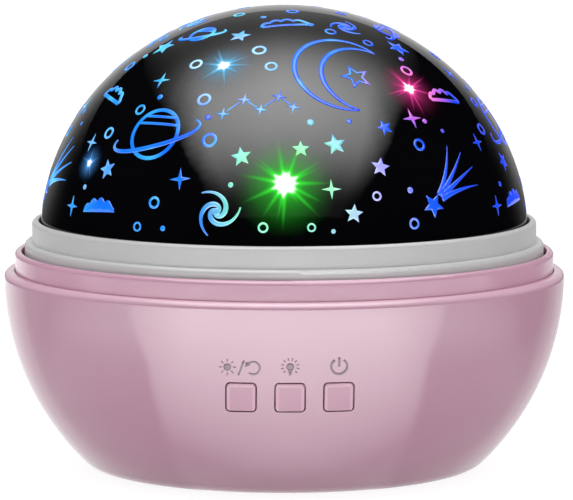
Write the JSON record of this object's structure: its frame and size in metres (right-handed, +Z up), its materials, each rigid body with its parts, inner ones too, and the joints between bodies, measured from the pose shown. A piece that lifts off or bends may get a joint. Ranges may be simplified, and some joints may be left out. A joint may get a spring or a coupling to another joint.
{
  "type": "night light projector",
  "caption": "Bowl-shaped desk night light: a motor turns a ring that carries a lift-off printed dome over coloured lamps; push buttons in front, battery bay below.",
  "frame": {"origin": "on the table under the middle of the base", "axes": "+Z up along the turning axis, buttons towards -Y, power inlet towards +Y"},
  "size_m": [0.13, 0.13, 0.1075],
  "materials": {
    "pink_shell": "glossy moulded",
    "pink_button": "glossy moulded",
    "white_ring": "satin moulded",
    "black_dome": "glossy, printed outside",
    "inner_white": "matt moulded",
    "gear_plastic": "plain acetal",
    "gearbox_plastic": "plain moulded",
    "motor_steel": "plated",
    "screw_steel": "zinc plated",
    "spring_steel": "nickel plated",
    "cell_jacket": "printed jacket",
    "board_green": "solder mask",
    "board_white": "white solder mask",
    "chip_black": "moulded",
    "plunger_grey": "moulded",
    "connector_cream": "moulded",
    "lamp_red": "clear epoxy",
    "lamp_green": "clear epoxy",
    "lamp_blue": "clear epoxy",
    "lamp_white": "clear epoxy",
    "foot_rubber": "matt",
    "lead_red_black": "insulated"
  },
  "bodies": {
    "base": {"batteries": "cell_jacket", "battery_contacts": "spring_steel", "battery_leads": "lead_red_black", "board_connectors": "connector_cream", "board_screws": "screw_steel", "bowl_shell": "pink_shell", "case_screws": "screw_steel", "control_board": "board_green", "control_chip": "chip_black", "deck": "pink_shell", "led_blue": "lamp_blue", "led_board": "board_white", "led_board_screws": "screw_steel", "led_green": "lamp_green", "led_leads": "lead_red_black", "led_post": "inner_white", "led_red": "lamp_red", "led_white": "lamp_white", "motor_can": "motor_steel", "motor_gearbox": "gearbox_plastic", "motor_leads": "lead_red_black", "motor_screws": "screw_steel", "post_screws": "screw_steel", "power_socket": "chip_black", "rubber_feet": "foot_rubber", "socket_leads": "lead_red_black", "socket_pin": "spring_steel", "tact_switches": "chip_black"},
    "turntable": {"turntable": "white_ring", "ring_gear": "gear_plastic"},
    "dome": {"dome": "black_dome"},
    "pinion": {"drive_pinion": "gear_plastic", "motor_shaft": "motor_steel"},
    "rotate_button": {"rotate_button": "pink_button", "rotate_plunger": "plunger_grey"},
    "light_button": {"light_button": "pink_button", "light_plunger": "plunger_grey"},
    "power_button": {"power_button": "pink_button", "power_plunger": "plunger_grey"},
    "battery_door": {"battery_door": "pink_shell", "door_screw": "screw_steel"}
  },
  "joints": [
    {"name": "turntable_spin", "type": "hinge", "parent": "base", "child": "turntable", "pos_m": [0, 0, 0.05], "axis": [0, 0, 1], "continuous": true},
    {"name": "dome_lift", "type": "slide", "parent": "turntable", "child": "dome", "axis": [0, 0, 1], "range_m": [0, 0.06]},
    {"name": "pinion_spin", "type": "hinge", "parent": "base", "child": "pinion", "pos_m": [0, 0.03, 0.045], "axis": [0, 0, 1], "continuous": true},
    {"name": "rotate_button_press", "type": "slide", "parent": "base", "child": "rotate_button", "axis": [0, 1, 0], "range_m": [0, 0.0005], "stiffness_N_per_m": 600},
    {"name": "light_button_press", "type": "slide", "parent": "base", "child": "light_button", "axis": [0, 1, 0], "range_m": [0, 0.0005], "stiffness_N_per_m": 600},
    {"name": "power_button_press", "type": "slide", "parent": "base", "child": "power_button", "axis": [0, 1, 0], "range_m": [0, 0.0005], "stiffness_N_per_m": 600},
    {"name": "battery_door_drop", "type": "slide", "parent": "base", "child": "battery_door", "axis": [0, 0, -1], "range_m": [0, 0.03]}
  ],
  "couplings": [
    {"joint": "pinion_spin", "follows": "turntable_spin", "ratio": 6}
  ]
}
